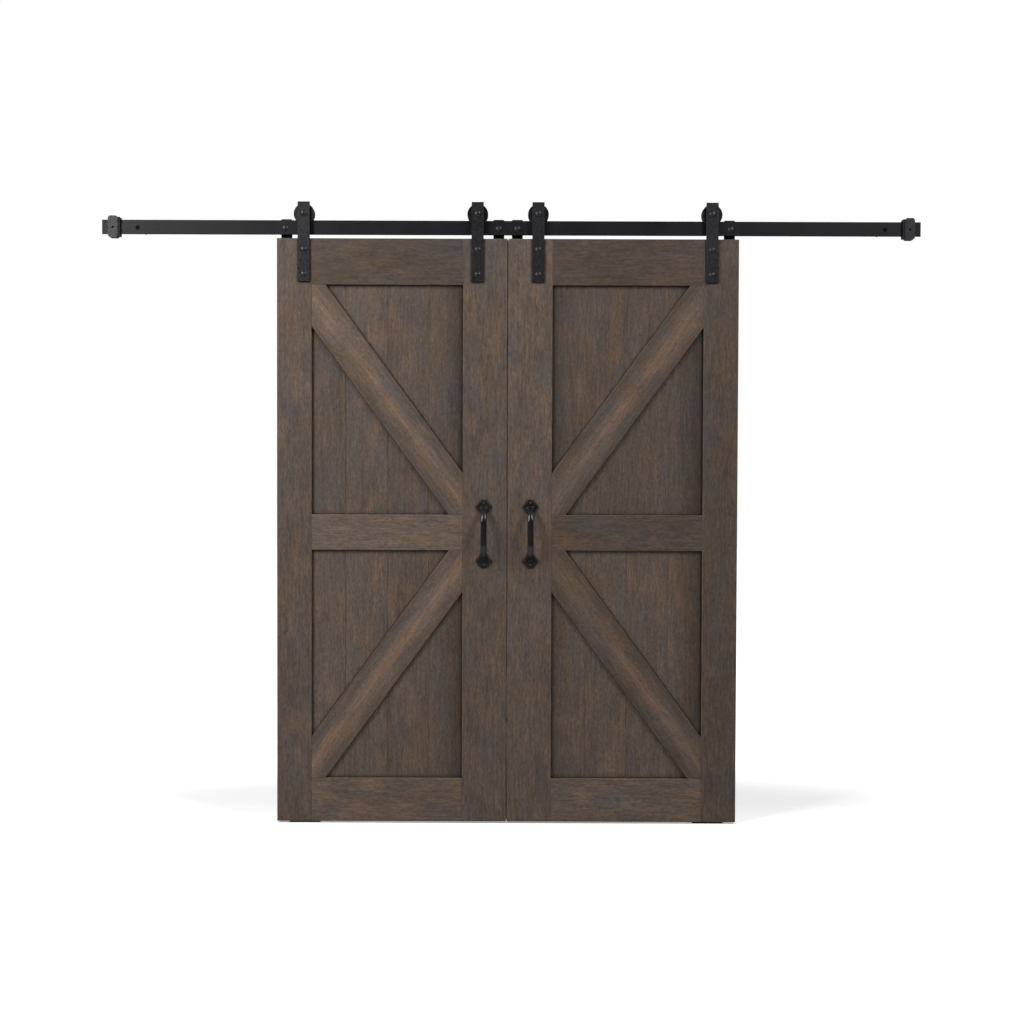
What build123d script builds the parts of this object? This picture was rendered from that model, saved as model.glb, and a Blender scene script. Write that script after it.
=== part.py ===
from build123d import *
import math
import os

# Double sliding barn door on a flat rail, with its hangers, stops, brackets and floor guides.
# Millimetres. The origin is on the wall, in the middle of the line of wall bolts.
# +X is right, +Y goes into the wall and +Z is up, so the viewer looks along +Y.

# Rail and what holds it
rail_length = 1494  # each of the two rail bars, which meet end to end
rail_shift = 12  # the bars meet this far to the right of the leaves' meeting line
rail_height = 52
rail_thick = 6
rail_above_bolts = 3  # the bar's middle sits this much above the line of bolts
rail_standoff = 29  # from the wall to the back of the bar
rail_ease = 0.8
inner_bolt_x = 34
outer_bolt_inset = 28  # from the leaf's outer edge
end_screw_from_end = 130  # from the rail's end
plate_width = 40
plate_height = 80
plate_thick = 5
plate_corner = 3
spacer_radius = 12
joiner_length = 120
joiner_height = 24
joiner_thick = 5
joiner_corner = 4

# Wall bolts and screws
wall_bolt_radius = 5
wall_thread_radius = 4.6
wall_thread_length = 60
end_screw_radius = 4
end_thread_radius = 3.6
end_screw_head_radius = 8
tip_length = 8
tip_radius = 1.5
dome_radius = 12
dome_height = 6

# Rollers and their bearings
wheel_radius = 38
wheel_width = 20
wheel_edge = 2
groove_radius = 22.2
groove_flat = 7  # width of the groove's floor, where the bar's edge runs
groove_mouth = 12
groove_depth_straight = 13
bearing_radius = 14
bearing_width = 16
bearing_race = 3  # radial thickness of the inner and outer race
bearing_dish = 0.8
wheel_lip = 2  # the wheel's bore narrows by this at the back, behind the bearing

# Hangers
strap_width = 44
strap_thick = 6
strap_above_axle = 42
strap_on_leaf = 158
strap_ease = 0.8
strap_to_wheel = 3
outer_strap_inset = 98.5  # from the leaf's outer edge to the strap's middle
inner_strap_inset = 110.5  # from the leaf's inner edge
axle_radius = 6
axle_dome_radius = 12.5
axle_dome_height = 6.5
axle_collar_radius = 9
axle_nut_width = 19
axle_nut_height = 7
axle_nut_collar = 2.5
axle_end = 2
leaf_bolt_radius = 4
leaf_bolt_drops = (41, 131)  # from the top of the leaf to each bolt
sleeve_radius = 5.5
sleeve_length = 20
sleeve_flange_radius = 11
sleeve_flange_thick = 2
sleeve_bore_end = 3
sleeve_hole_depth = 21
sleeve_edge = 1

# Leaves
leaf_width = 842
leaf_height = 2134
leaf_thick = 35
meeting_gap = 0.1  # between the backs of the closed leaves
meeting_bevel = 1.9  # each meeting edge leans back by this much at its front
leaf_below_rail = 15
floor_gap = 6
outer_stile_width = 127
inner_stile_width = 163
top_rail_height = 168
mid_rail_height = 130
bottom_rail_height = 160
wood_ease = 1.5
recess = 10  # from the frame's face back to the boards
board_thick = 12
board_width = 152.4
board_groove = 10  # depth of the groove that holds the boards and the stub tenons
board_end_room = 1
tongue = 6
tongue_thick = 4
seam_chamfer = 1.5
seam_gap = 0.3
brace_width = 130
brace_angle = 53.8
guide_groove_width = 8
guide_groove_depth = 15

# Pull handles
handle_length = 250
handle_above_bottom = 1058
handle_inset = 85  # from the leaf's inner edge
grip_width = 22
grip_thick = 14
grip_reach = 45  # from the leaf's face to the middle of the grip
grip_drop = 24  # height over which the grip comes forward
grip_bend = 55
foot_bend = 8
foot_sink = 1  # the grip's ends start this far inside the rosette
rosette_width = 64
rosette_thick = 7
rosette_edge = 2  # upright edge, below the sloping crown
rosette_taper = 45
rosette_tip_width = 22
rosette_shoulder = 26  # from the tip to the widest place
rosette_neck_width = 24
rosette_length = 51
rosette_corner = 8
foot_width = 34
foot_height = 30
foot_rise = 10
handle_screw_inset = 12
handle_screw_radius = 2
handle_screw_length = 22
handle_pilot_depth = 23
handle_head_radius = 5
handle_head_height = 3

# End stops
stop_width = 35
stop_height = 78
stop_depth = 26
stop_from_end = 42  # from the rail's end to the middle of the stop
stop_corner = 6
bumper_thick = 8
bumper_height = 70
bumper_depth = 22
bumper_corner = 2
set_screw_radius = 4
set_screw_sink = 1.5
socket_radius = 2.2
socket_depth = 3.5

# Floor guides
guide_inset = 100  # from the leaf's outer edge
guide_base_length = 110
guide_base_width = 18
guide_base_corner = 5
guide_base_thick = 3
guide_blade_length = 60
guide_blade_thick = 6.4
guide_blade_height = 17
guide_hole_radius = 2.5
guide_hole_spacing = 84

# Clearances
fit_gap = 0.15  # sides of tenons, boards and bores that hold a fixed piece
bolt_gap = 0.3
running_gap = 0.05  # radial, bearing on axle
press_gap = 0.015  # radial, bearing in wheel
roll_gap = 0.3  # between the groove's floor and the rail's edge
end_play = 0.3  # each side of the bearing

# Heights and depths that follow
rail_mid_z = rail_above_bolts
rail_top_z = rail_mid_z + rail_height / 2
rail_bottom_z = rail_mid_z - rail_height / 2
rail_back_y = -rail_standoff
rail_front_y = rail_back_y - rail_thick
wheel_y = (rail_back_y + rail_front_y) / 2
wheel_z = rail_top_z + roll_gap + groove_radius
wheel_front_y = wheel_y - wheel_width / 2
leaf_front_y = wheel_front_y - strap_to_wheel
leaf_back_y = leaf_front_y + leaf_thick
strap_front_y = leaf_front_y - strap_thick
leaf_top_z = rail_bottom_z - leaf_below_rail
leaf_bottom_z = leaf_top_z - leaf_height
floor_z = leaf_bottom_z - floor_gap
strap_top_z = wheel_z + strap_above_axle
strap_bottom_z = leaf_top_z - strap_on_leaf
inner_edge_x = meeting_gap / 2
outer_edge_x = inner_edge_x + leaf_width
inner_strap_x = inner_edge_x + inner_strap_inset
outer_strap_x = outer_edge_x - outer_strap_inset
outer_bolt_x = outer_edge_x - outer_bolt_inset
guide_x = outer_edge_x - guide_inset
end_screw_reach = rail_length - end_screw_from_end
opening_inner_x = inner_edge_x + inner_stile_width
opening_outer_x = outer_edge_x - outer_stile_width
opening_width = opening_outer_x - opening_inner_x
opening_mid_x = (opening_outer_x + opening_inner_x) / 2
opening_height = (leaf_height - top_rail_height - mid_rail_height - bottom_rail_height) / 2
upper_top_z = leaf_top_z - top_rail_height
upper_bottom_z = upper_top_z - opening_height
lower_top_z = upper_bottom_z - mid_rail_height
lower_bottom_z = lower_top_z - opening_height
board_front_y = leaf_front_y + recess
board_back_y = board_front_y + board_thick
board_mid_y = (board_front_y + board_back_y) / 2
leaf_mid_y = (leaf_front_y + leaf_back_y) / 2
handle_x = inner_edge_x + handle_inset
handle_z = leaf_bottom_z + handle_above_bottom
stop_reach = rail_length - stop_from_end
bearing_front_y = wheel_y - bearing_width / 2
bearing_back_y = wheel_y + bearing_width / 2
stop_front_y = wheel_y - stop_depth / 2
bumper_reach = stop_reach - stop_width / 2 - bumper_thick  # from the bars' joint to the pad's face

os.makedirs("parts", exist_ok=True)


def save(piece, name):
    """Label a finished piece and write it."""
    piece.part.label = name
    export_step(piece.part, f"parts/{name}.step")


def elevation(y, x=0.0, z=0.0, turn=1):
    """A front view at depth y: sketch x is across, sketch y is up, and extrusion comes forward."""
    return Plane(origin=(x, y, z), x_dir=(turn, 0, 0), z_dir=(0, -1, 0))


def turning(x, z):
    """A half section for a turned piece: sketch x is the radius and sketch y is the depth."""
    return Plane(origin=(x, 0, z), x_dir=(1, 0, 0), z_dir=(0, 0, 1))


def depth_axis(x, z):
    return Axis((x, 0, z), (0, 1, 0))


def block(x0, x1, y0, y1, z0, z1, mode=Mode.ADD):
    """A squared length of bar or board between two depths."""
    with BuildSketch(elevation(y1, (x0 + x1) / 2, (z0 + z1) / 2)) as face:
        Rectangle(abs(x1 - x0), abs(z1 - z0))
    extrude(face.sketch, amount=y1 - y0, mode=mode)


def drill(x, z, y0, y1, radius):
    """A round hole along the depth, from y0 back to y1."""
    with BuildSketch(elevation(y1, x, z)) as ring:
        Circle(radius)
    extrude(ring.sketch, amount=y1 - y0, mode=Mode.SUBTRACT)


def ease_front(piece, size):
    """Take the sharp edge off the front face."""
    chamfer(piece.faces().sort_by(Axis.Y)[0].edges(), length=size)


def on_rail(side, reach):
    """The place across of something at a distance from the bars' joint."""
    return rail_shift + side * reach


# Rail bars and the plate that joins them
def rail_bar(side):
    with BuildPart() as bar:
        block(rail_shift, on_rail(side, rail_length), rail_front_y, rail_back_y, rail_bottom_z, rail_top_z)
        chamfer(bar.edges().filter_by(Axis.X), length=rail_ease)
        for x in (inner_bolt_x, outer_bolt_x):
            drill(side * x, 0, rail_front_y, rail_back_y, wall_bolt_radius + bolt_gap)
        with Locations(elevation(rail_front_y, on_rail(side, end_screw_reach))):
            CounterSinkHole(end_screw_radius + bolt_gap, end_screw_head_radius + bolt_gap, rail_thick)
    return bar


def rail_joiner():
    half_length, half_height = joiner_length / 2, joiner_height / 2
    y_back = rail_back_y + joiner_thick
    with BuildPart() as joiner:
        block(on_rail(-1, half_length), on_rail(1, half_length), rail_back_y, y_back, -half_height, half_height)
        fillet(joiner.edges().filter_by(Axis.Y), radius=joiner_corner)
        for x in (-inner_bolt_x, inner_bolt_x):
            drill(x, 0, rail_back_y, y_back, wall_bolt_radius + bolt_gap)
    return joiner


# Plates on the wall behind each bolt, and the tubes that hold the rail off them
def wall_plate(x):
    half_width, half_height = plate_width / 2, plate_height / 2
    with BuildPart() as plate:
        block(x - half_width, x + half_width, -plate_thick, 0, -half_height, half_height)
        chamfer(plate.edges().filter_by(Axis.Y), length=plate_corner)
        drill(x, 0, -plate_thick, 0, wall_bolt_radius + bolt_gap)
    return plate


def spacer_tube(x, y_front, y_back, bore):
    with BuildSketch(elevation(y_back, x, 0)) as ring:
        Circle(spacer_radius)
        Circle(bore, mode=Mode.SUBTRACT)
    extrude(ring.sketch, amount=y_back - y_front)


def rail_spacers():
    with BuildPart() as spacers:
        for side in (-1, 1):
            bore = wall_bolt_radius + bolt_gap
            spacer_tube(side * inner_bolt_x, rail_back_y + joiner_thick, -plate_thick, bore)
            spacer_tube(side * outer_bolt_x, rail_back_y, -plate_thick, bore)
            spacer_tube(on_rail(side, end_screw_reach), rail_back_y, 0, end_screw_radius + bolt_gap)
    return spacers


# Bolts and screws, turned about their own axes
def domed_bolt(x, z, y_seat, head_radius, head_height, *shank):
    """A domed head that seats at y_seat, then the shank as (radius, depth) corners."""
    with BuildSketch(turning(x, z)) as half:
        with BuildLine():
            dome = TangentArc((0, y_seat - head_height), (head_radius, y_seat), tangent=(1, 0))
            Polyline(dome @ 1, *shank, (0, shank[-1][1]), dome @ 0)
        make_face()
    revolve(half.sketch, axis=depth_axis(x, z))


def wall_bolts():
    with BuildPart() as bolts:
        for x in (-outer_bolt_x, -inner_bolt_x, inner_bolt_x, outer_bolt_x):
            domed_bolt(
                x,
                0,
                rail_front_y,
                dome_radius,
                dome_height,
                (wall_bolt_radius, rail_front_y),
                (wall_bolt_radius, 0),
                (wall_thread_radius, 0),
                (wall_thread_radius, wall_thread_length),
                (tip_radius, wall_thread_length + tip_length),
            )
    return bolts


def end_screws():
    with BuildPart() as screws:
        for x in (on_rail(-1, end_screw_reach), on_rail(1, end_screw_reach)):
            cone = end_screw_head_radius - end_screw_radius
            with BuildSketch(turning(x, 0)):
                with BuildLine():
                    Polyline(
                        (0, rail_front_y),
                        (end_screw_head_radius, rail_front_y),
                        (end_screw_radius, rail_front_y + cone),
                        (end_screw_radius, 0),
                        (end_thread_radius, 0),
                        (end_thread_radius, wall_thread_length),
                        (0, wall_thread_length + tip_length),
                        close=True,
                    )
                make_face()
            revolve(axis=depth_axis(x, 0))
    return screws


# Stops at the rail's ends: a block that the rail passes through, a rubber pad and a set screw
def stop_blank(piece, x0, x1, height, depth, corner):
    with BuildSketch(Plane.YZ.offset(min(x0, x1))) as section:
        with Locations((wheel_y, rail_mid_z)):
            Rectangle(depth, height)
            Rectangle(rail_thick + 2 * fit_gap, rail_height + 2 * fit_gap, mode=Mode.SUBTRACT)
    extrude(section.sketch, amount=abs(x1 - x0))
    outer = piece.faces().filter_by(Axis.Z).sort_by(Axis.Z)
    chamfer((outer[0].edges() + outer[-1].edges()).filter_by(Axis.Y), length=corner)


def end_stop(side):
    x0 = on_rail(side, stop_reach - stop_width / 2)
    x1 = on_rail(side, stop_reach + stop_width / 2)
    with BuildPart() as stop:
        stop_blank(stop, x0, x1, stop_height, stop_depth, stop_corner)
        drill(on_rail(side, stop_reach), 0, stop_front_y, rail_front_y, set_screw_radius + fit_gap)
    return stop


def bumper(side):
    x0 = on_rail(side, bumper_reach)
    x1 = on_rail(side, bumper_reach + bumper_thick)
    with BuildPart() as pad:
        stop_blank(pad, x0, x1, bumper_height, bumper_depth, bumper_corner)
    return pad


def stop_set_screws():
    with BuildPart() as screws:
        for x in (on_rail(-1, stop_reach), on_rail(1, stop_reach)):
            top = stop_front_y + set_screw_sink
            with BuildSketch(elevation(rail_front_y, x, 0)):
                Circle(set_screw_radius)
            extrude(amount=rail_front_y - top)
            with BuildSketch(elevation(top + socket_depth, x, 0)):
                RegularPolygon(socket_radius, 6)
            extrude(amount=socket_depth, mode=Mode.SUBTRACT)
    return screws


# Guides on the floor, whose blades run in the groove under each leaf
def floor_guide(side):
    x = side * guide_x
    base_top = floor_z + guide_base_thick
    with BuildPart() as guide:
        with BuildSketch(Plane.XY.offset(floor_z)):
            with Locations((x, leaf_mid_y)):
                RectangleRounded(guide_base_length, guide_base_width, guide_base_corner)
                with GridLocations(guide_hole_spacing, 1, 2, 1):
                    Circle(guide_hole_radius, mode=Mode.SUBTRACT)
        extrude(amount=guide_base_thick)
        with BuildSketch(Plane.XY.offset(base_top)):
            with Locations((x, leaf_mid_y)):
                SlotOverall(guide_blade_length, guide_blade_thick)
        extrude(amount=guide_blade_height - guide_base_thick)
    return guide


# Frame of a leaf: two stiles, three rails with stub tenons, and the grooves for the boards
def panel_slot(x0, x1, z0, z1):
    """A groove of the boards' thickness, cut right through the stretch given."""
    block(x0, x1, board_front_y - fit_gap, board_back_y + fit_gap, z0, z1, Mode.SUBTRACT)


def guide_slot(x0, x1):
    half = guide_groove_width / 2
    z1 = leaf_bottom_z + guide_groove_depth
    block(x0, x1, leaf_mid_y - half, leaf_mid_y + half, leaf_bottom_z, z1, Mode.SUBTRACT)


def bolt_holes(x):
    for drop in leaf_bolt_drops:
        z = leaf_top_z - drop
        drill(x, z, leaf_front_y, leaf_back_y, leaf_bolt_radius + bolt_gap)
        drill(x, z, leaf_back_y - sleeve_hole_depth, leaf_back_y, sleeve_radius + fit_gap)


def outer_stile(side):
    x0, x1 = side * opening_outer_x, side * outer_edge_x
    with BuildPart() as stile:
        block(x0, x1, leaf_front_y, leaf_back_y, leaf_bottom_z, leaf_top_z)
        ease_front(stile, wood_ease)
        panel_slot(x0, x0 + side * board_groove, leaf_bottom_z, leaf_top_z)
        guide_slot(x0, x1)
        bolt_holes(side * outer_strap_x)
    return stile


def inner_stile(side):
    """Its free edge is bevelled, so that two closed leaves touch only at their backs."""
    x0, x1 = side * inner_edge_x, side * opening_inner_x
    with BuildPart() as stile:
        with BuildSketch(Plane.XY.offset(leaf_bottom_z)) as plan:
            with BuildLine():
                Polyline(
                    (x0, leaf_back_y),
                    (x1, leaf_back_y),
                    (x1, leaf_front_y),
                    (x0 + side * meeting_bevel, leaf_front_y),
                    close=True,
                )
            make_face()
        extrude(plan.sketch, amount=leaf_height)
        ease_front(stile, wood_ease)
        panel_slot(x1 - side * board_groove, x1, leaf_bottom_z, leaf_top_z)
        guide_slot(x0, x1)
        bolt_holes(side * inner_strap_x)
        pilot_end = leaf_front_y + handle_pilot_depth
        for end in (-1, 1):
            z = handle_z + end * (handle_length / 2 - handle_screw_inset)
            drill(side * handle_x, z, leaf_front_y, pilot_end, handle_screw_radius + fit_gap)
    return stile


def cross_rail(side, z_bottom, z_top, groove_above, groove_below):
    """A rail between the stiles, with a stub tenon at each end."""
    x0, x1 = side * opening_inner_x, side * opening_outer_x
    reach = board_groove - fit_gap
    with BuildPart() as rail:
        block(x0, x1, leaf_front_y, leaf_back_y, z_bottom, z_top)
        ease_front(rail, wood_ease)
        block(x0 - side * reach, x1 + side * reach, board_front_y, board_back_y, z_bottom, z_top)
        if groove_above:
            panel_slot(x0 - side * reach, x1 + side * reach, z_top - board_groove, z_top)
        if groove_below:
            panel_slot(x0 - side * reach, x1 + side * reach, z_bottom, z_bottom + board_groove)
        if z_bottom == leaf_bottom_z:
            guide_slot(x0 - side * reach, x1 + side * reach)
    return rail


# Boards with tongues and grooves, a small V at each seam
def board(side, x0, x1, z0, z1, has_tongue, has_groove):
    half = seam_gap / 2
    with BuildSketch(Plane.XY.offset(z0)) as plan:
        with Locations((side * (x0 + x1) / 2, board_mid_y)):
            Rectangle(x1 - x0 - 2 * half, board_thick)
        chamfer(plan.vertices().group_by(Axis.Y)[0], length=seam_chamfer)
        if has_tongue:
            with Locations((side * (x1 - half + tongue / 2), board_mid_y)):
                Rectangle(tongue, tongue_thick)
        if has_groove:
            with Locations((side * (x0 + half + tongue / 2), board_mid_y)):
                Rectangle(tongue + 2 * seam_gap, tongue_thick + 2 * fit_gap, mode=Mode.SUBTRACT)
    extrude(plan.sketch, amount=z1 - z0)


def board_panel(side, z_bottom, z_top):
    """Four boards across the opening: two whole ones, and one ripped to width at each side."""
    x_first = opening_inner_x - board_groove + board_end_room
    x_last = opening_outer_x + board_groove - board_end_room
    seams = [opening_mid_x + i * board_width for i in (-1, 0, 1)]
    edges = [x_first, *seams, x_last]
    z0 = z_bottom - board_groove + board_end_room
    z1 = z_top + board_groove - board_end_room
    with BuildPart() as panel:
        for i, (x0, x1) in enumerate(zip(edges, edges[1:])):
            board(side, x0, x1, z0, z1, has_tongue=i < len(seams), has_groove=i > 0)
    return panel


# Braces: a slanting board on the face of the panel, cut to the opening
def brace(side, z_bottom, z_top, slope):
    """slope is 1 where the brace rises towards the leaf's outer edge and -1 where it falls."""
    with BuildPart() as slanted:
        with BuildSketch(elevation(board_front_y, side * opening_mid_x, (z_bottom + z_top) / 2)):
            Rectangle(opening_width + opening_height, brace_width, rotation=side * slope * brace_angle)
            Rectangle(opening_width - 2 * fit_gap, z_top - z_bottom - 2 * fit_gap, mode=Mode.INTERSECT)
        extrude(amount=recess)
        ease_front(slanted, wood_ease)
    return slanted


# Hangers: flat straps on the face of the leaf, with an axle above the rail
def strap(x):
    half = strap_width / 2
    with BuildPart() as bar:
        block(x - half, x + half, strap_front_y, leaf_front_y, strap_bottom_z, strap_top_z)
        ease_front(bar, strap_ease)
        drill(x, wheel_z, strap_front_y, leaf_front_y, axle_radius + bolt_gap)
        for drop in leaf_bolt_drops:
            drill(x, leaf_top_z - drop, strap_front_y, leaf_front_y, leaf_bolt_radius + bolt_gap)
    return bar


def axle_bolts(side):
    nut_end = bearing_back_y + end_play + axle_nut_collar + axle_nut_height
    with BuildPart() as axles:
        for x in (side * inner_strap_x, side * outer_strap_x):
            domed_bolt(
                x,
                wheel_z,
                strap_front_y,
                axle_dome_radius,
                axle_dome_height,
                (axle_radius, strap_front_y),
                (axle_radius, leaf_front_y),
                (axle_collar_radius, leaf_front_y),
                (axle_collar_radius, bearing_front_y - end_play),
                (axle_radius, bearing_front_y - end_play),
                (axle_radius, nut_end + axle_end),
            )
    return axles


def axle_nuts(side):
    collar_front = bearing_back_y + end_play
    nut_end = collar_front + axle_nut_collar + axle_nut_height
    with BuildPart() as nuts:
        for x in (side * inner_strap_x, side * outer_strap_x):
            with BuildSketch(elevation(nut_end, x, wheel_z)):
                RegularPolygon(axle_nut_width / 2, 6, major_radius=False)
            extrude(amount=axle_nut_height)
            with BuildSketch(elevation(collar_front + axle_nut_collar, x, wheel_z)):
                Circle(axle_collar_radius)
            extrude(amount=axle_nut_collar)
            drill(x, wheel_z, collar_front, nut_end, axle_radius + fit_gap)
    return nuts


def leaf_bolts(side):
    bolt_end = leaf_back_y - sleeve_bore_end
    with BuildPart() as bolts:
        for x in (side * inner_strap_x, side * outer_strap_x):
            for drop in leaf_bolt_drops:
                domed_bolt(
                    x,
                    leaf_top_z - drop,
                    strap_front_y,
                    dome_radius,
                    dome_height,
                    (leaf_bolt_radius, strap_front_y),
                    (leaf_bolt_radius, bolt_end),
                )
    return bolts


def sleeve_nuts(side):
    """Sleeve nuts let into the back of the leaf, with a thin flange against the wood."""
    with BuildPart() as nuts:
        for x in (side * inner_strap_x, side * outer_strap_x):
            for drop in leaf_bolt_drops:
                with BuildSketch(turning(x, leaf_top_z - drop)):
                    with BuildLine():
                        Polyline(
                            (leaf_bolt_radius + fit_gap, leaf_back_y - sleeve_length),
                            (sleeve_radius, leaf_back_y - sleeve_length),
                            (sleeve_radius, leaf_back_y),
                            (sleeve_flange_radius, leaf_back_y),
                            (sleeve_flange_radius, leaf_back_y + sleeve_flange_thick - sleeve_edge),
                            (sleeve_flange_radius - sleeve_edge, leaf_back_y + sleeve_flange_thick),
                            (0, leaf_back_y + sleeve_flange_thick),
                            (0, leaf_back_y - sleeve_bore_end + fit_gap),
                            (leaf_bolt_radius + fit_gap, leaf_back_y - sleeve_bore_end + fit_gap),
                            close=True,
                        )
                    make_face()
                revolve(axis=depth_axis(x, leaf_top_z - drop))
    return nuts


# Rollers with a deep groove, each turning on a bearing pressed into its hub
def wheel(x):
    half = wheel_width / 2
    mouth = groove_mouth / 2
    flat = groove_flat / 2
    seat_radius = bearing_radius + press_gap
    lip_radius = bearing_radius - wheel_lip
    rim = wheel_radius - wheel_edge
    wall_radius = groove_radius + groove_depth_straight
    with BuildPart() as roller:
        with BuildSketch(turning(x, wheel_z)):
            with BuildLine():
                Polyline(
                    (seat_radius, wheel_y - half),
                    (rim, wheel_y - half),
                    (wheel_radius, wheel_y - half + wheel_edge),
                    (wheel_radius, wheel_y - mouth),
                    (wall_radius, wheel_y - flat),
                    (groove_radius, wheel_y - flat),
                    (groove_radius, wheel_y + flat),
                    (wall_radius, wheel_y + flat),
                    (wheel_radius, wheel_y + mouth),
                    (wheel_radius, wheel_y + half - wheel_edge),
                    (rim, wheel_y + half),
                    (lip_radius, wheel_y + half),
                    (lip_radius, bearing_back_y),
                    (seat_radius, bearing_back_y),
                    close=True,
                )
            make_face()
        revolve(axis=depth_axis(x, wheel_z))
    return roller


def bearing(x):
    """Its inner and outer race stand a little proud of the shield between them."""
    bore = axle_radius + running_gap
    mid_radius = (bore + bearing_radius) / 2
    shield = bearing_radius - bore - 2 * bearing_race
    with BuildPart() as ring:
        with BuildSketch(turning(x, wheel_z)):
            with Locations((mid_radius, wheel_y)):
                Rectangle(bearing_radius - bore, bearing_width)
            with Locations((mid_radius, bearing_front_y), (mid_radius, bearing_back_y)):
                Rectangle(shield, 2 * bearing_dish, mode=Mode.SUBTRACT)
        revolve(axis=depth_axis(x, wheel_z))
    return ring


# Cast pull handles: a bowed grip between two rosettes
def rosette(side, end):
    """One rosette. Sketch y runs from the handle's middle out to the tip."""
    tip = handle_length / 2
    plane = elevation(leaf_front_y, side * handle_x, handle_z, turn=end)
    with BuildSketch(plane) as leaf:
        with BuildLine():
            Polyline(
                (0, tip),
                (rosette_tip_width / 2, tip),
                (rosette_width / 2, tip - rosette_shoulder),
                (rosette_neck_width / 2, tip - rosette_length),
                (0, tip - rosette_length),
            )
            mirror(about=Plane.YZ)
        make_face()
        fillet(leaf.vertices(), radius=rosette_corner)
    extrude(leaf.sketch, amount=rosette_edge)
    with BuildSketch(plane.offset(rosette_edge)) as crown:
        add(leaf.sketch_local)
    extrude(crown.sketch, amount=rosette_thick - rosette_edge, taper=rosette_taper)


def handle_foot(side, end, foot_z):
    """The swelling where the grip grows out of the rosette."""
    x, z = side * handle_x, handle_z + end * foot_z
    crown_y = leaf_front_y - rosette_thick
    with BuildSketch(elevation(crown_y, x, z)) as base:
        Ellipse(foot_width / 2, foot_height / 2)
    with BuildSketch(elevation(crown_y - foot_rise, x, z)) as neck:
        Ellipse(grip_width / 2, grip_thick / 2)
    loft(sections=[base.sketch, neck.sketch])


def pull_handle(side):
    x = side * handle_x
    foot_z = handle_length / 2 - rosette_length + foot_height / 2
    knee_z = foot_z - grip_drop
    start_y = leaf_front_y - foot_sink
    foot_y = leaf_front_y - rosette_thick - foot_rise / 2
    grip_y = leaf_front_y - grip_reach
    with BuildPart() as handle:
        for end in (-1, 1):
            rosette(side, end)
        for end in (-1, 1):
            handle_foot(side, end, foot_z)
        with BuildLine(Plane.YZ.offset(x)):
            route = FilletPolyline(
                (start_y, handle_z + foot_z),
                (foot_y, handle_z + foot_z),
                (grip_y, handle_z + knee_z),
                (grip_y, handle_z - knee_z),
                (foot_y, handle_z - foot_z),
                (start_y, handle_z - foot_z),
                radius=[foot_bend, grip_bend, grip_bend, foot_bend],
            )
        with BuildSketch(Plane(origin=route @ 0, x_dir=(1, 0, 0), z_dir=route % 0)):
            Ellipse(grip_width / 2, grip_thick / 2)
        sweep(path=route)
        for end in (-1, 1):
            z = handle_z + end * (handle_length / 2 - handle_screw_inset)
            drill(x, z, leaf_front_y - rosette_thick, leaf_front_y, handle_screw_radius + fit_gap)
    return handle


def handle_screws(side):
    seat = leaf_front_y - rosette_thick
    with BuildPart() as screws:
        for end in (-1, 1):
            z = handle_z + end * (handle_length / 2 - handle_screw_inset)
            domed_bolt(
                side * handle_x,
                z,
                seat,
                handle_head_radius,
                handle_head_height,
                (handle_screw_radius, seat),
                (handle_screw_radius, leaf_front_y + handle_screw_length),
            )
    return screws


# The track, fixed to the wall and the floor
save(rail_joiner(), "rail_joiner")
save(rail_spacers(), "rail_spacers")
save(wall_bolts(), "rail_bolts")
save(end_screws(), "rail_end_screws")
save(stop_set_screws(), "stop_set_screws")
for word, side in (("left", -1), ("right", 1)):
    save(rail_bar(side), f"rail_{word}")
    save(wall_plate(side * inner_bolt_x), f"inner_bracket_{word}")
    save(wall_plate(side * outer_bolt_x), f"outer_bracket_{word}")
    save(end_stop(side), f"end_stop_{word}")
    save(bumper(side), f"bumper_{word}")
    save(floor_guide(side), f"floor_guide_{word}")

# The two leaves with their hangers, rollers and handles
for word, side in (("left", -1), ("right", 1)):
    save(outer_stile(side), f"{word}_outer_stile")
    save(inner_stile(side), f"{word}_inner_stile")
    save(cross_rail(side, upper_top_z, leaf_top_z, False, True), f"{word}_top_rail")
    save(cross_rail(side, lower_top_z, upper_bottom_z, True, True), f"{word}_mid_rail")
    save(cross_rail(side, leaf_bottom_z, lower_bottom_z, True, False), f"{word}_bottom_rail")
    save(board_panel(side, upper_bottom_z, upper_top_z), f"{word}_upper_boards")
    save(board_panel(side, lower_bottom_z, lower_top_z), f"{word}_lower_boards")
    save(brace(side, upper_bottom_z, upper_top_z, 1), f"{word}_upper_brace")
    save(brace(side, lower_bottom_z, lower_top_z, -1), f"{word}_lower_brace")
    save(axle_bolts(side), f"{word}_axle_bolts")
    save(axle_nuts(side), f"{word}_axle_nuts")
    save(leaf_bolts(side), f"{word}_strap_bolts")
    save(sleeve_nuts(side), f"{word}_sleeve_nuts")
    save(pull_handle(side), f"{word}_pull_handle")
    save(handle_screws(side), f"{word}_handle_screws")
    for place, x in (("inner", side * inner_strap_x), ("outer", side * outer_strap_x)):
        save(strap(x), f"{word}_{place}_strap")
        save(wheel(x), f"{word}_{place}_wheel")
        save(bearing(x), f"{word}_{place}_bearing")

# How far a leaf slides: its outer roller then lies a running gap from the rubber pad
pad_above = max(wheel_z - (rail_mid_z + bumper_height / 2), 0)
roller_reach = math.sqrt(wheel_radius**2 - pad_above**2)
for word, side in (("left", -1), ("right", 1)):
    travel = abs(on_rail(side, bumper_reach)) - roll_gap - roller_reach - outer_strap_x
    turn = math.degrees(travel / groove_radius)
    print(f"{word} leaf travel {travel:.1f} mm, roller turn {turn:.0f} degrees")
print(f"axle height {wheel_z:.1f}, leaf bottom {leaf_bottom_z:.1f}, floor {floor_z:.1f}")
print(f"handle at {handle_x:.2f}, {handle_z:.2f}, straps at {inner_strap_x:.2f} and {outer_strap_x:.2f}")
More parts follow.
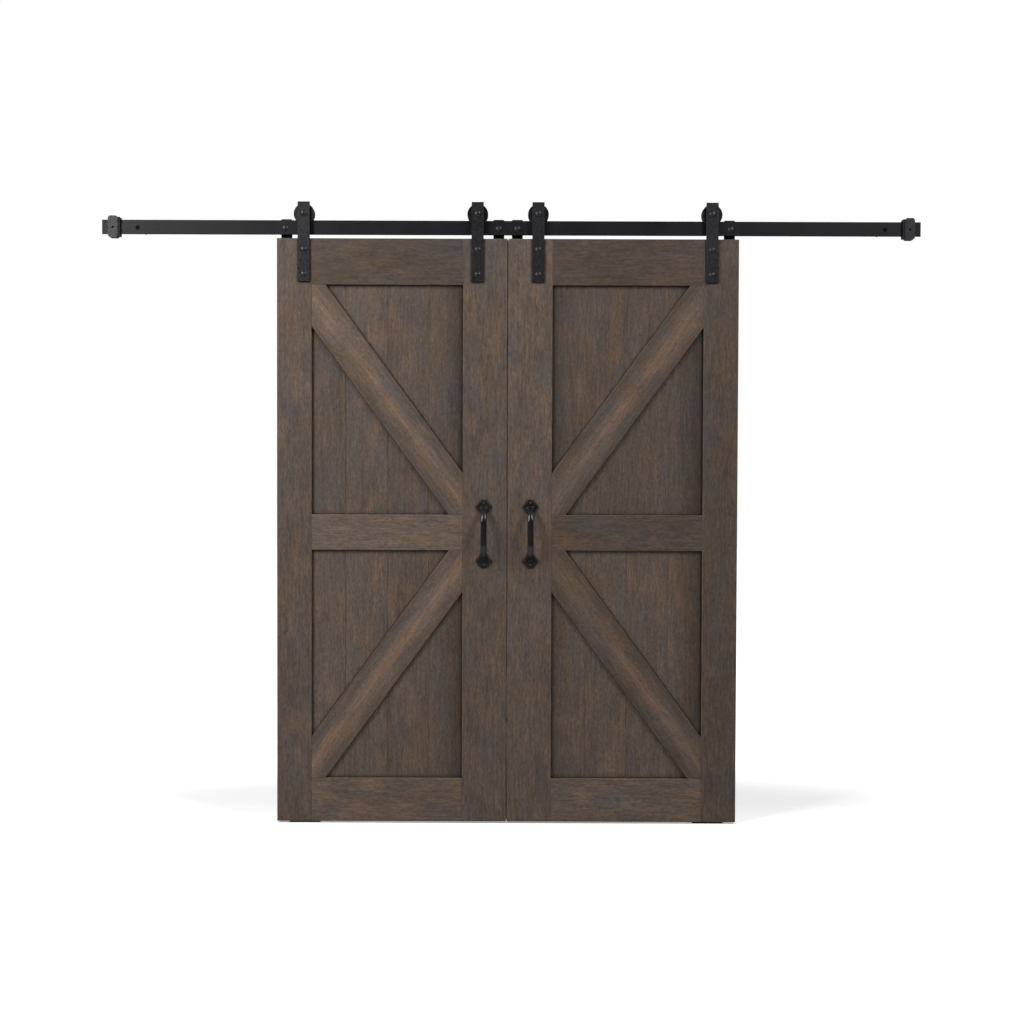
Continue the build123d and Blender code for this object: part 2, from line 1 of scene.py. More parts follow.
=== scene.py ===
# %% [markdown]
# # A pair of sliding barn doors
#
# Two wooden doors hang from a flat black rail on grooved rollers. The solids come from
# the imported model, at their real size and in metres. This script gives every surface its
# finish, adds the screw threads that are too fine for the solids, and sets up the studio.
#
# +X is right, +Y goes into the wall and +Z is up. The origin is on the wall, in the
# middle of the line of bolts that holds the rail.

import math

import bpy
from mathutils import Matrix, Vector


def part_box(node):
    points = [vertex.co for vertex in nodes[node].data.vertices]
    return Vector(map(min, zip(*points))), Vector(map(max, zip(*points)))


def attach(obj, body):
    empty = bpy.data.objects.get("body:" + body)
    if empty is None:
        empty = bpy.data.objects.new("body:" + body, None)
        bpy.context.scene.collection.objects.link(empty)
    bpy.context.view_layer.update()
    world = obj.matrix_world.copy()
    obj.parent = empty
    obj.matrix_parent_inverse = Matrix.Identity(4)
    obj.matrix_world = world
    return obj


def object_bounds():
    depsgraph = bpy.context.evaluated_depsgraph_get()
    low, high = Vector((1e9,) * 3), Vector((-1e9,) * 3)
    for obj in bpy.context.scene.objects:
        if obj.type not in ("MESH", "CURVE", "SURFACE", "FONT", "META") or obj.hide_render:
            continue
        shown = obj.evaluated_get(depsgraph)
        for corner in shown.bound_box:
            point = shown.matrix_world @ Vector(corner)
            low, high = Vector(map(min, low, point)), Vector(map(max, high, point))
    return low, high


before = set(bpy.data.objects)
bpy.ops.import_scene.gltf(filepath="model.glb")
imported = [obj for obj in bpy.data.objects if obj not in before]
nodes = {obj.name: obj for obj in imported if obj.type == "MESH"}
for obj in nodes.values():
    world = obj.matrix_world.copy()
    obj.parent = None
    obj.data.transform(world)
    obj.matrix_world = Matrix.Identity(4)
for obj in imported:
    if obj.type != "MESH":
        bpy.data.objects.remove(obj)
cad_box = [list(map(float, corner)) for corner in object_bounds()]
print(len(nodes), "nodes, from", cad_box[0], "to", cad_box[1])

# %% [markdown]
# ## Small helpers
#
# Artists pick colours as sRGB hex values, because that is what a screen shows. Blender
# computes light in linear values, so one function turns the first into the second.
# Another adds a node, gives it its settings and wires its inputs, which keeps each
# material below to a handful of readable lines.
#
# Most patterns go through a Map Range node. Its inputs come in this order: the value, the
# two ends of the range it comes from, and the two ends of the range it goes to, which it
# never passes.


# %% Colour and node helpers
def linear(hex_colour):
    """An sRGB hex colour as linear red, green, blue and an alpha of 1."""
    values = [int(hex_colour[i : i + 2], 16) / 255 for i in (1, 3, 5)]
    return (*(((v + 0.055) / 1.055) ** 2.4 if v > 0.04045 else v / 12.92 for v in values), 1.0)


def add_node(tree, kind, inputs=(), **settings):
    """Add a node. inputs holds the values of its first sockets in order, or maps a socket's
    name or number to one. A value can be the socket or the node it follows, and a node
    stands for its first output."""
    new = tree.nodes.new(kind)
    for name, value in settings.items():
        setattr(new, name, value)
    pairs = inputs.items() if isinstance(inputs, dict) else enumerate(inputs)
    for key, value in pairs:
        if isinstance(value, bpy.types.Node):
            value = value.outputs[0]
        if isinstance(value, bpy.types.NodeSocket):
            tree.links.new(value, new.inputs[key])
        else:
            new.inputs[key].default_value = value
    return new


def start_material(name):
    """An empty material with a Principled shader wired to its output."""
    material = bpy.data.materials.new(name)
    material.use_nodes = True
    tree = material.node_tree
    tree.nodes.clear()
    shader = add_node(tree, "ShaderNodeBsdfPrincipled")
    add_node(tree, "ShaderNodeOutputMaterial", {"Surface": shader})
    return material, tree, shader


# %% [markdown]
# ## Camera
#
# The photograph was taken straight on, from a little above the doors' middle and four
# metres away. The rail's far ends and the doors' edges fix the lens: 38.45 mm on a 36 mm
# sensor. The camera nods down by one degree and leans by a fifth of a degree, which is
# why the doors' bottom edge falls slightly to the right.

# %% Place the camera
lens_mm = 38.45
sensor_mm = 36
camera_place = Vector((0.0177, -4.045, -0.960))
nod_down = 1.05
lean = 0.19

camera_data = bpy.data.cameras.new("camera")
camera_data.lens = lens_mm
camera_data.sensor_width = sensor_mm
camera = bpy.data.objects.new("camera", camera_data)
bpy.context.collection.objects.link(camera)
nod = Matrix.Rotation(math.radians(90 - nod_down), 4, "X")
aim = nod @ Matrix.Rotation(math.radians(lean), 4, "Z")
camera.matrix_world = Matrix.Translation(camera_place) @ aim
bpy.context.scene.camera = camera

# %% [markdown]
# ## Light
#
# The shadows in the recesses and beside the handles give the lights away. Each grip has
# a soft shadow on both sides, so there are two lights in front, left and right. The left
# one is nearer, because its shadows grow longer from the left door to the right one. The
# shadows under the cross rails fade over a height of several pixels, so both softboxes
# are tall. On the doors' fronts the studio itself adds very little.

# %% Add the softboxes
left_watts = 130
right_watts = 144
left_place = (-2.7, -2.1, 1.25)
right_place = (3.0, -2.45, 2.5)
left_target = (-0.2, 0, -1.6)
right_target = (0.2, 0, -1.6)
left_size = (1.2, 2.4)  # width and height, in metres
right_size = (1.1, 2.4)


def softbox(name, place, target, size, watts):
    """A lamp at place that faces target."""
    data = bpy.data.lights.new(name, "AREA")
    data.shape = "RECTANGLE"
    data.size, data.size_y = size
    data.energy = watts
    lamp = bpy.data.objects.new(name, data)
    bpy.context.collection.objects.link(lamp)
    direction = Vector(target) - Vector(place)
    turn = direction.to_track_quat("-Z", "Y").to_matrix().to_4x4()
    lamp.matrix_world = Matrix.Translation(place) @ turn


softbox("softbox_left", left_place, left_target, left_size, left_watts)
softbox("softbox_right", right_place, right_target, right_size, right_watts)

# %% [markdown]
# The white backdrop is in the world. Camera, glossy and transmission rays that leave
# towards it see full white. All other rays find a dim room in front, and behind the doors
# a brighter one, which shows their backs and reaches their fronts only off the floor.

# %% Set up the world
room_level = 0.04
back_level = 0.6
backdrop_from = (-0.4, 0.3)  # the Y of a mirrored ray's direction where white starts and is full
back_from = (0.1, 0.5)  # the same for the light on the backs
white = linear("#ffffff")
world = bpy.data.worlds.new("studio")
bpy.context.scene.world = world
world.use_nodes = True
sky = world.node_tree
sky.nodes.clear()
rays = add_node(sky, "ShaderNodeLightPath").outputs
direction = add_node(sky, "ShaderNodeTexCoord").outputs["Generated"]
into_wall = add_node(sky, "ShaderNodeSeparateXYZ", [direction]).outputs["Y"]
behind = add_node(sky, "ShaderNodeMapRange", [into_wall, *backdrop_from, 0, 1])
fill = add_node(sky, "ShaderNodeMapRange", [into_wall, *back_from, room_level, back_level])
mirrored = add_node(sky, "ShaderNodeMath", [rays["Is Glossy Ray"], behind], operation="MULTIPLY")
seen = mirrored
for ray in ("Is Camera Ray", "Is Transmission Ray"):
    seen = add_node(sky, "ShaderNodeMath", [seen, rays[ray]], operation="MAXIMUM")
strength = add_node(sky, "ShaderNodeMapRange", [seen, 0, 1, fill, 1.0])
backdrop = add_node(sky, "ShaderNodeBackground", {"Color": white, "Strength": strength})
add_node(sky, "ShaderNodeOutputWorld", {"Surface": backdrop})
bpy.context.scene.view_settings.view_transform = "Standard"

# %% [markdown]
# ## Floor
#
# The doors hang six millimetres above a white floor, and the lights in front throw soft
# shadows back past their sides. The floor is a large quad under the floor guides. Most of
# its white is its own, seen by the camera alone, and only a small part is light that a
# shadow can take away, so the shadow stays as faint as in the photograph. Its own white
# grows with the distance from the doors, quickly behind them and slowly to the sides,
# because in the photograph the shadow is only kept near the doors' foot. Behind the doors
# it starts a little lower, because the light on their backs falls on the floor too. In
# the narrow gap under the doors nothing is left of either.

# %% Lay the floor
floor_half = 20.0
white_near, white_far = 0.54, 1.02  # the floor's own white, at the doors and away from them
white_behind = 0.42  # as white_near, behind the doors
behind_from = (-0.1, 0.2)  # where in depth the one becomes the other
near_reach, far_reach = 1.45, 3.2  # metres from the doors' foot
depth_fade = 3.3  # how much sooner the shadow ends behind the doors than beside them
contact_reach = 0.012
contact_open = (0.35, 0.55)  # how open the floor is in the gap and outside it
corner_rays = 8  # rays that feel for a corner, here and in the wood
floor_z = cad_box[0][2]
floor_mesh = bpy.data.meshes.new("floor")
signs = ((-1, -1), (1, -1), (1, 1), (-1, 1))
corners = [(x * floor_half, y * floor_half, floor_z) for x, y in signs]
floor_mesh.from_pydata(corners, [], [(0, 1, 2, 3)])
floor = bpy.data.objects.new("floor", floor_mesh)
bpy.context.collection.objects.link(floor)
paper, tree, shader = start_material("white_paper_floor")
shader.inputs["Base Color"].default_value = linear("#E0E0E0")
shader.inputs["Roughness"].default_value = 0.9
shader.inputs["Specular IOR Level"].default_value = 0.0
rays = add_node(tree, "ShaderNodeLightPath").outputs
# Painted shade: the floor's own white darkens in the narrow gap under the doors, where a contact
# shadow falls.
reach = {"Distance": contact_reach}
near = add_node(tree, "ShaderNodeAmbientOcclusion", reach, samples=corner_rays)
painted_contact_shade = add_node(tree, "ShaderNodeMapRange", [near.outputs["AO"], *contact_open, 0, 1])
place = add_node(tree, "ShaderNodeTexCoord").outputs["Object"]
squeeze = (1, depth_fade, 0)
squeezed = add_node(tree, "ShaderNodeVectorMath", [place, squeeze], operation="MULTIPLY")
from_foot = add_node(tree, "ShaderNodeVectorMath", [squeezed], operation="LENGTH").outputs["Value"]
depth = add_node(tree, "ShaderNodeSeparateXYZ", [place]).outputs["Y"]
at_foot = add_node(tree, "ShaderNodeMapRange", [depth, *behind_from, white_near, white_behind])
own_white = add_node(
    tree,
    "ShaderNodeMapRange",
    [from_foot, near_reach, far_reach, at_foot, white_far],
    interpolation_type="SMOOTHSTEP",
)
seen_rays = [rays["Is Camera Ray"], rays["Is Transmission Ray"]]
glow = add_node(tree, "ShaderNodeMath", seen_rays, operation="MAXIMUM")
for part in (own_white, painted_contact_shade):
    glow = add_node(tree, "ShaderNodeMath", [glow, part], operation="MULTIPLY")
shine = add_node(tree, "ShaderNodeEmission", {"Color": white, "Strength": glow})
both = add_node(tree, "ShaderNodeAddShader", [shader, shine])
tree.links.new(both.outputs[0], tree.nodes["Material Output"].inputs["Surface"])
floor_mesh.materials.append(paper)

# %% [markdown]
# ## Weathered, stained pine
#
# The doors are softwood boards with a thin grey-brown stain, brushed along the grain and
# left to dry unevenly. Close up there are six scales, from large to small:
#
# - clouds a third of a metre long, where the stain dried browner or greyer
# - warm and cool patches five or six centimetres wide and twice as long
# - streaks two centimetres wide and forty long
# - brush lines about eight millimetres apart
# - flecks of grain, 5 mm wide and 14 mm long
# - open pores, drawn here as dashes 2.5 mm wide, because real ones are too fine to show
#
# Each is a noise texture that is stretched along the grain. Every piece gets coordinates
# of its own: x across it, z along its grain, with zero at its middle.

# %% Wood palette and pattern sizes
stain_grey = linear("#554C47")
stain_brown = linear("#5F5043")
stain_warm = linear("#725845")
stain_cool = linear("#4A4648")
stain_dark = linear("#3B322C")
rubbed_highlight_wood = linear("#786757")
cloud_size = (0.11, 0.34)  # across and along the grain, in metres
warm_size = (0.055, 0.13)
cool_size = (0.060, 0.12)
streak_size = (0.020, 0.40)
brush_size = (0.0080, 0.08)
grain_size = (0.0050, 0.014)
pore_size = (0.0025, 0.012)
heart_half_width = 0.036  # the warm middle of a brace
brace_half_width = 0.066
painted_shade_reach = 0.018  # how far from an inner corner the painted shade reaches
painted_corner_shade = 0.38
shade_reach = 0.13  # how far from a stile a panel is darker
pore_depth = 0.0006
wood_roughness = (0.60, 0.72)
wood_specular = 0.25  # a dry stain, duller than varnish
noise_span = (0.3, 0.7)  # nearly all of a noise's values lie between these
board_jump = (3.0, 0, 5.0)  # how far the pattern may move from one board to the next
board_tones = (0.94, 1.06)


def stretched_noise(tree, place, size, detail, roughness=0.6, shift=0.0):
    """A noise whose features measure size across and along the grain. shift moves it away
    from another of much the same size."""
    across, along = size
    scaled = add_node(
        tree,
        "ShaderNodeMapping",
        {
            "Vector": place,
            "Location": (shift, shift / 2, shift),
            "Scale": (1 / across, 1 / across, 1 / along),
        },
    )
    settings = {"Vector": scaled, "Scale": 1.0, "Detail": detail, "Roughness": roughness}
    return add_node(tree, "ShaderNodeTexNoise", settings)


# %% [markdown]
# Arrises are rubbed, and the narrow bevels, which face neither the front nor the side,
# also catch the light, so they are a little lighter: partly wear, partly painted
# highlight. A bevel's normal leans 45 degrees from the front.


# %% Mask for the rubbed edges and their painted highlight
def on_bevel(tree):
    """1 on faces that lean 45 degrees from the front, 0 on the front and the sides."""
    lean_cosine = math.cos(math.radians(45))
    full, none = 0.10, 0.20  # how far off the cosine is where the effect is full, and none
    normal = add_node(tree, "ShaderNodeNewGeometry").outputs["True Normal"]
    facing = add_node(tree, "ShaderNodeVectorMath", [normal, (0, -1, 0)], operation="DOT_PRODUCT")
    cosine = facing.outputs["Value"]
    off = add_node(tree, "ShaderNodeMath", [cosine, lean_cosine], operation="SUBTRACT")
    distance = add_node(tree, "ShaderNodeMath", [off], operation="ABSOLUTE")
    return add_node(tree, "ShaderNodeMapRange", [distance, full, none, 1, 0])


# %% [markdown]
# The grain's direction, the tone and the warmth are most of what differs between a stile,
# a rail, a brace and a panel, so one function makes them all. The inner corners get
# painted shade, darker where the recesses fall in shadow. A brace's warm heartwood runs
# along its middle.
# Boards come side by side in one node, so there the board's number, worked out from its
# place across the panel, moves the pattern again and makes each board a little lighter or
# darker than the next.
#
# A pattern can do two things: mix in one of the stains, by a share, and multiply the
# colour by a tone. Both are lists below, with the range of the pattern's values first and
# what they become after it.


# %% Make a wood material
def stained_pine(name, middle, turn, seed, tone, heart=0.0, board_width=0.0, stile_shades=()):
    """turn is the angle about Y from upright grain, in degrees. heart is how much of a
    brace's middle is warm. stile_shades holds, for a panel, its middle's distance to a
    stile, the stile's side and how dark the panel is beside that stile."""
    material, tree, shader = start_material(name)
    place = add_node(tree, "ShaderNodeTexCoord").outputs["Object"]
    turned = add_node(
        tree,
        "ShaderNodeVectorRotate",
        {"Vector": place, "Center": middle, "Angle": math.radians(turn)},
        rotation_type="Y_AXIS",
    )
    local = add_node(tree, "ShaderNodeVectorMath", [turned, middle], operation="SUBTRACT")
    across = add_node(tree, "ShaderNodeSeparateXYZ", [local]).outputs["X"]
    from_middle = add_node(tree, "ShaderNodeMath", [across], operation="ABSOLUTE")
    moved = (seed, 0, 1.7 * seed)
    grain_place = add_node(tree, "ShaderNodeVectorMath", [local, moved], operation="ADD")
    tones = []

    for half_width, stile_side, shade in stile_shades:
        away = [across, -stile_side, half_width]
        inward = add_node(tree, "ShaderNodeMath", away, operation="MULTIPLY_ADD")
        limits = [inward, 0, shade_reach, shade, 1.0]
        tones.append(add_node(tree, "ShaderNodeMapRange", limits, interpolation_type="SMOOTHSTEP"))
    if board_width:
        place_in_row = add_node(tree, "ShaderNodeMath", [across, board_width], operation="DIVIDE")
        number = add_node(tree, "ShaderNodeMath", [place_in_row], operation="FLOOR")
        key = add_node(tree, "ShaderNodeMath", [number, seed], operation="ADD")
        chance = add_node(tree, "ShaderNodeTexWhiteNoise", {"W": key}, noise_dimensions="1D")
        draws = [chance.outputs["Color"], board_jump]
        jump = add_node(tree, "ShaderNodeVectorMath", draws, operation="MULTIPLY")
        grain_place = add_node(tree, "ShaderNodeVectorMath", [grain_place, jump], operation="ADD")
        board_tone = [chance.outputs["Value"], 0, 1, *board_tones]
        tones.append(add_node(tree, "ShaderNodeMapRange", board_tone))

    clouds = stretched_noise(tree, grain_place, cloud_size, 2.0, 0.5)
    warmth = stretched_noise(tree, grain_place, warm_size, 2.0, 0.5, shift=7.3)
    coolness = stretched_noise(tree, grain_place, cool_size, 2.0, 0.5, shift=3.9)
    streaks = stretched_noise(tree, grain_place, streak_size, 3.0)
    brush = stretched_noise(tree, grain_place, brush_size, 2.0)
    grain = stretched_noise(tree, grain_place, grain_size, 2.0)
    pores = stretched_noise(tree, grain_place, pore_size, 2.0)
    # Painted shade: the wood darkens in its inner corners, where the recesses fall in shadow.
    reach = {"Distance": painted_shade_reach}
    corner_shade_ao = add_node(tree, "ShaderNodeAmbientOcclusion", reach, samples=corner_rays)

    warm_share = add_node(tree, "ShaderNodeMapRange", [warmth, 0.48, 0.72, 0, 0.5])
    if heart:
        core = add_node(tree, "ShaderNodeMapRange", [from_middle, 0, heart_half_width, 1, 0])
        ragged = add_node(tree, "ShaderNodeMapRange", [streaks, 0.4, 0.6, 0.2, heart])
        heartwood = add_node(tree, "ShaderNodeMath", [core, ragged], operation="MULTIPLY")
        warm_share = add_node(tree, "ShaderNodeMath", [warm_share, heartwood], operation="MAXIMUM")
        to_edge = [from_middle, 0, brace_half_width, 1.16, 0.74]
        tones.append(add_node(tree, "ShaderNodeMapRange", to_edge))
    stains = [
        (add_node(tree, "ShaderNodeMapRange", [clouds, 0.38, 0.62, 0, 1]), stain_brown),
        (warm_share, stain_warm),
        (add_node(tree, "ShaderNodeMapRange", [coolness, 0.50, 0.74, 0, 0.55]), stain_cool),
        (add_node(tree, "ShaderNodeMapRange", [streaks, 0.54, 0.78, 0, 0.35]), stain_dark),
    ]
    colour = stain_grey
    for share, stain in stains:
        mixed = {0: share, 6: colour, 7: stain}
        colour = add_node(tree, "ShaderNodeMix", mixed, data_type="RGBA").outputs[2]

    tone_steps = [
        [clouds, 0.35, 0.65, 1.10, 0.90],
        [brush, *noise_span, 0.84, 1.16],
        [grain, *noise_span, 0.76, 1.24],
        [pores, 0.28, 0.40, 0.78, 1.0],
        [corner_shade_ao.outputs["AO"], 0.5, 0.92, painted_corner_shade, 1.0],
    ]
    tones += [add_node(tree, "ShaderNodeMapRange", step) for step in tone_steps]
    level = tone
    for factor in tones:
        level = add_node(tree, "ShaderNodeMath", [level, factor], operation="MULTIPLY")
    grey = add_node(tree, "ShaderNodeCombineColor", [level] * 3)
    toned = {0: 1.0, 6: colour, 7: grey}
    colour = add_node(tree, "ShaderNodeMix", toned, data_type="RGBA", blend_type="MULTIPLY")
    # The bevels are lighter: rubbed wear, and painted highlight where they catch the light.
    wear_and_highlight = add_node(tree, "ShaderNodeMapRange", [brush, 0.35, 0.6, 0.2, 0.7])
    wear_and_highlight = add_node(tree, "ShaderNodeMath", [on_bevel(tree), wear_and_highlight], operation="MULTIPLY")
    edged = {0: wear_and_highlight, 6: colour.outputs[2], 7: rubbed_highlight_wood}
    colour = add_node(tree, "ShaderNodeMix", edged, data_type="RGBA").outputs[2]
    tree.links.new(colour, shader.inputs["Base Color"])

    dullness = add_node(tree, "ShaderNodeMapRange", [grain, *noise_span, *wood_roughness])
    tree.links.new(dullness.outputs[0], shader.inputs["Roughness"])
    shader.inputs["Specular IOR Level"].default_value = wood_specular
    open_pores = add_node(tree, "ShaderNodeMapRange", [pores, 0.28, 0.42, 0, 1])
    height = add_node(tree, "ShaderNodeMapRange", [brush, *noise_span, 0.6, 1.0])
    height = add_node(tree, "ShaderNodeMath", [open_pores, height], operation="MULTIPLY")
    relief = {"Height": height, "Strength": 0.35, "Distance": pore_depth}
    bump = add_node(tree, "ShaderNodeBump", relief)
    tree.links.new(bump.outputs[0], shader.inputs["Normal"])
    return material


def dress(node_name, material):
    """Give a node of the model its finish."""
    mesh = nodes[node_name].data
    mesh.materials.clear()
    mesh.materials.append(material)


def middle_of(node_name):
    """The middle of a node's box."""
    low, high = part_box(node_name)
    return Vector([(a + b) / 2 for a, b in zip(low, high)])


# %% [markdown]
# Each piece has its own tone, judged from the photograph. The braces are the warmest
# pieces, and their middles are lighter than their edges. The panels are darker beside the
# inner stiles, and the right door's also beside its outer stile.

# %% Dress the leaves' wood
brace_angle = 53.8  # degrees from level
lying = -90.0
panel_board_width = 0.1524
brace_heart = 0.9
seed_step, door_seed_step = 3.1, 31.7  # how far the pattern moves between pieces and doors
piece_tones = {  # left door, right door
    "outer_stile": (0.93, 0.81),
    "inner_stile": (0.98, 1.04),
    "top_rail": (0.72, 0.70),
    "mid_rail": (1.26, 0.80),
    "bottom_rail": (1.17, 1.18),
    "upper_brace": (1.12, 1.02),
    "lower_brace": (1.22, 0.97),
    "upper_boards": (0.96, 0.91),
    "lower_boards": (1.01, 1.07),
}
outer_shades = {"upper_boards": (1.0, 0.5), "lower_boards": (1.0, 0.5)}
inner_shades = {"upper_boards": (0.5, 0.6), "lower_boards": (0.6, 0.7)}
for column, (word, side) in enumerate((("left", -1), ("right", 1))):
    for index, (piece, door_tones) in enumerate(piece_tones.items()):
        name = f"{word}_{piece}"
        looks = {"tone": door_tones[column]}
        turn = 0.0
        if piece.endswith("rail"):
            turn = lying
        elif piece.endswith("brace"):
            rises_outward = 1 if piece == "upper_brace" else -1
            turn = -side * rises_outward * (90 - brace_angle)
            looks["heart"] = brace_heart
        elif piece.endswith("boards"):
            low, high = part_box(name)
            half = (high[0] - low[0]) / 2
            looks["board_width"] = panel_board_width
            looks["stile_shades"] = (
                (half, side, outer_shades[piece][column]),
                (half, -side, inner_shades[piece][column]),
            )
        seed = seed_step * index + door_seed_step * column
        dress(name, stained_pine(f"stained_pine_{name}", middle_of(name), turn, seed, **looks))
print("wood finished on", 2 * len(piece_tones), "nodes")

# %% [markdown]
# ## Black powder-coated steel
#
# Rail, straps, stops and brackets are flat bar with a fine-textured powder coat: dry
# black plastic with a faint orange-peel surface. It stays dark face on and lifts to a
# soft grey where it mirrors a softbox. The real texture is under half a millimetre, and
# is drawn here at 3 mm on the rail and 5 mm on the hangers so that it shows. Handling
# leaves it slightly uneven from one decimetre to the next.

# %% Make the painted metals
wear_size = 1 / 9  # metres
wear_roughness = 0.05  # how far the wear parts from the roughness


def textured_black(name, colour, roughness, texture, specular=0.5, grainy=0.0):
    """texture is its size and height in metres. grainy is how far its own peaks and
    hollows part from the roughness."""
    size, height = texture
    material, tree, shader = start_material(name)
    place = add_node(tree, "ShaderNodeTexCoord").outputs["Object"]
    fine = {"Vector": place, "Scale": 1 / size, "Detail": 2.0}
    peel = add_node(tree, "ShaderNodeTexNoise", fine)
    coarse = {"Vector": place, "Scale": 1 / wear_size, "Detail": 3.0}
    wear = add_node(tree, "ShaderNodeTexNoise", coarse)
    peel_tone = add_node(tree, "ShaderNodeMapRange", [peel, *noise_span, 0.88, 1.12])
    wear_tone = add_node(tree, "ShaderNodeMapRange", [wear, *noise_span, 0.9, 1.1])
    level = add_node(tree, "ShaderNodeMath", [peel_tone, wear_tone], operation="MULTIPLY")
    grey = add_node(tree, "ShaderNodeCombineColor", [level] * 3)
    toned = {0: 1.0, 6: linear(colour), 7: grey}
    shade = add_node(tree, "ShaderNodeMix", toned, data_type="RGBA", blend_type="MULTIPLY")
    tree.links.new(shade.outputs[2], shader.inputs["Base Color"])
    dull, shiny = roughness + wear_roughness, roughness - wear_roughness
    patchy = add_node(tree, "ShaderNodeMapRange", [wear, *noise_span, shiny, dull])
    speckle = add_node(tree, "ShaderNodeMapRange", [peel, *noise_span, -grainy, grainy])
    mottled = add_node(tree, "ShaderNodeMath", [patchy, speckle], operation="ADD")
    tree.links.new(mottled.outputs[0], shader.inputs["Roughness"])
    shader.inputs["Specular IOR Level"].default_value = specular
    bump = add_node(tree, "ShaderNodeBump", {"Height": peel, "Strength": 0.5, "Distance": height})
    tree.links.new(bump.outputs[0], shader.inputs["Normal"])
    return material


rail_texture = (0.003, 0.0003)  # size and height, in metres
hanger_texture = (0.005, 0.0009)
turned_texture = (0.003, 0.0001)
cast_texture = (0.006, 0.0003)
rubber_texture = (0.002, 0.0002)
powder_coat = textured_black(
    "powder_coated_rail", "#15151A", 0.50, rail_texture, specular=0.20, grainy=0.10
)
hanger_coat = textured_black(
    "powder_coated_hangers", "#18181D", 0.48, hanger_texture, specular=0.38, grainy=0.22
)
black_oxide = textured_black("black_oxide_steel", "#0C0C10", 0.48, turned_texture)
socket_black = textured_black(
    "blackened_socket_screws", "#0A0A0C", 0.65, turned_texture, specular=0.05
)
wheel_black = textured_black("turned_black_wheel", "#0E0E0F", 0.45, turned_texture, specular=0.35)
cast_gloss = textured_black("glossy_cast_iron", "#151618", 0.28, cast_texture)
pad_rubber = textured_black("moulded_rubber", "#141414", 0.80, rubber_texture, specular=0.3)

# %% [markdown]
# The bearings' rings are ground steel, bare and with a thin film of oil that varies from
# one spot to the next.

# %% Make the bearing steel
film_size = 1 / 160  # metres
bearing_steel, tree, shader = start_material("ground_bearing_steel")
place = add_node(tree, "ShaderNodeTexCoord").outputs["Object"]
spots = {"Vector": place, "Scale": 1 / film_size, "Detail": 2.0}
film = add_node(tree, "ShaderNodeTexNoise", spots)
oily = add_node(tree, "ShaderNodeMapRange", [film, *noise_span, 0.28, 0.42])
tree.links.new(oily.outputs[0], shader.inputs["Roughness"])
shader.inputs["Base Color"].default_value = linear("#9A9894")
shader.inputs["Metallic"].default_value = 1.0

# %% [markdown]
# The first word of this list that is part of a node's name decides its finish, so set
# screws and end screws come before the other screws, and bolts before straps, because
# strap bolts hold both words. All that is left is powder-coated.

# %% Dress the metal, rubber and cast pieces
finish_by_word = {
    "set": socket_black,
    "end_screws": socket_black,
    "bolts": black_oxide,
    "screws": black_oxide,
    "nuts": black_oxide,
    "wheel": wheel_black,
    "bearing": bearing_steel,
    "handle": cast_gloss,
    "bumper": pad_rubber,
    "strap": hanger_coat,
    "stop": hanger_coat,
    "bracket": hanger_coat,
}
doors = ("left", "right")
wooden = {f"{word}_{piece}" for word in doors for piece in piece_tones}
for name in nodes:
    if name in wooden:
        continue
    chosen = next((finish for word, finish in finish_by_word.items() if word in name), powder_coat)
    dress(name, chosen)
print("metal and rubber finished on", len(nodes) - len(wooden), "nodes")

# %% [markdown]
# ## Screw threads
#
# The bolts and screws go into the wall, so from behind their threads show. A thread is a
# ridge wound on a cylinder: the Spiral curve with a three-sided profile swept along it.
# One Geometry Nodes tree makes that ridge once, copies it to every bolt of its kind and
# lays the copies along Y. The tree's inputs are the real sizes, in metres.

# %% Build the thread tree
steps_per_turn = 20
ridge_sides = 3


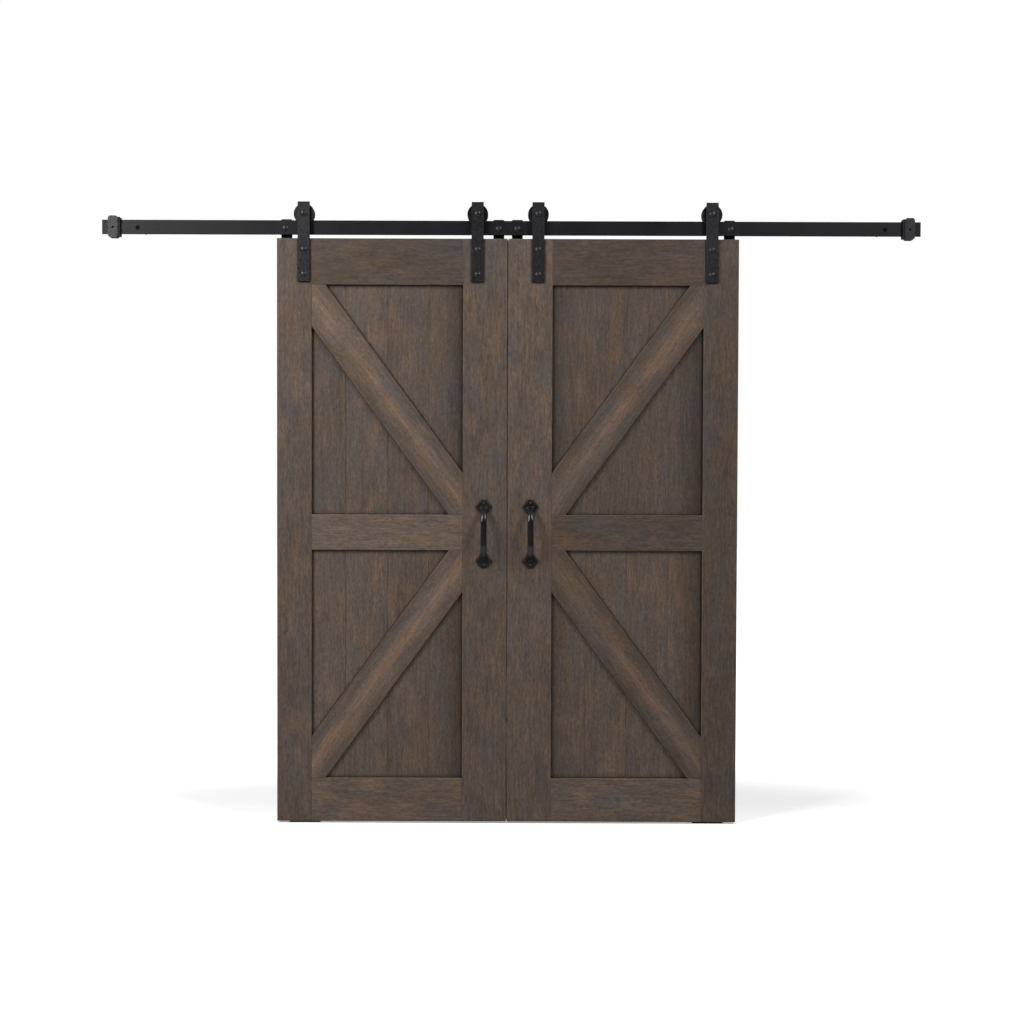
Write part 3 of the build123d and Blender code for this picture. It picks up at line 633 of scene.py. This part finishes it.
def thread_tree():
    """A tree that winds a thread on every point of a mesh."""
    tree = bpy.data.node_groups.new("wound_thread", "GeometryNodeTree")
    tree.interface.new_socket("Geometry", in_out="INPUT", socket_type="NodeSocketGeometry")
    for label in ("Radius", "Ridge", "Pitch", "Length"):
        tree.interface.new_socket(label, in_out="INPUT", socket_type="NodeSocketFloat")
    tree.interface.new_socket("Finish", in_out="INPUT", socket_type="NodeSocketMaterial")
    tree.interface.new_socket("Geometry", in_out="OUTPUT", socket_type="NodeSocketGeometry")
    given = add_node(tree, "NodeGroupInput").outputs
    turns = add_node(tree, "ShaderNodeMath", [given["Length"], given["Pitch"]], operation="DIVIDE")
    helix = add_node(
        tree,
        "GeometryNodeCurveSpiral",
        {
            "Resolution": steps_per_turn,
            "Rotations": turns,
            "Start Radius": given["Radius"],
            "End Radius": given["Radius"],
            "Height": given["Length"],
        },
    )
    profile = {"Resolution": ridge_sides, "Radius": given["Ridge"]}
    ridge = add_node(tree, "GeometryNodeCurvePrimitiveCircle", profile)
    sweep = {"Curve": helix, "Profile Curve": ridge, "Fill Caps": True}
    wound = add_node(tree, "GeometryNodeCurveToMesh", sweep)
    quarter_turn = (math.radians(-90), 0, 0)
    placing = {"Points": given["Geometry"], "Instance": wound, "Rotation": quarter_turn}
    copies = add_node(tree, "GeometryNodeInstanceOnPoints", placing)
    solid = add_node(tree, "GeometryNodeRealizeInstances", [copies])
    painting = {"Geometry": solid, "Material": given["Finish"]}
    painted = add_node(tree, "GeometryNodeSetMaterial", painting)
    add_node(tree, "NodeGroupOutput", [painted])
    return tree


# %% [markdown]
# The tree runs as a modifier on a mesh that has one point per bolt. Afterwards
# new_from_object turns the result into a plain mesh, so that nothing of the tree has to
# travel with the model.


# %% Run a tree and keep the plain mesh
def run_tree(name, tree, points, **sizes):
    """The tree's result on these points, as an object with a plain mesh."""
    seeds = bpy.data.meshes.new(name + "_points")
    seeds.from_pydata(points, [], [])
    carrier = bpy.data.objects.new(name + "_carrier", seeds)
    bpy.context.collection.objects.link(carrier)
    modifier = carrier.modifiers.new("tree", "NODES")
    modifier.node_group = tree
    for item in tree.interface.items_tree:
        if item.in_out == "INPUT" and item.name in sizes:
            modifier[item.identifier] = sizes[item.name]
    bpy.context.view_layer.update()
    evaluated = carrier.evaluated_get(bpy.context.evaluated_depsgraph_get())
    mesh = bpy.data.meshes.new_from_object(evaluated)
    mesh.name = name
    bpy.data.objects.remove(carrier)
    piece = bpy.data.objects.new(name, mesh)
    bpy.context.collection.objects.link(piece)
    print(name, len(mesh.polygons), "faces")
    return piece


thread_start = 0.002  # the wall's face is at 0, and the threads begin just inside it
screw_head = 0.008  # the head's radius, from the box's side to the screw's middle
thread_finish = {"Length": 0.057, "Finish": black_oxide}
bolt_sizes = {"Radius": 0.0046, "Ridge": 0.0007, "Pitch": 0.0035, **thread_finish}
screw_sizes = {"Radius": 0.0036, "Ridge": 0.0006, "Pitch": 0.003, **thread_finish}
thread = thread_tree()
bracket_names = [f"{end}_bracket_{word}" for end in ("inner", "outer") for word in doors]
bolt_points = [(middle_of(name).x, thread_start, 0) for name in bracket_names]
bolt_threads = run_tree("wall_bolt_threads", thread, bolt_points, **bolt_sizes)
screw_low, screw_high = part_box("rail_end_screws")
screw_middles = (screw_low[0] + screw_head, screw_high[0] - screw_head)
screw_points = [(x, thread_start, 0) for x in screw_middles]
screw_threads = run_tree("end_screw_threads", thread, screw_points, **screw_sizes)
for piece in (bolt_threads, screw_threads):
    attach(piece, "track")
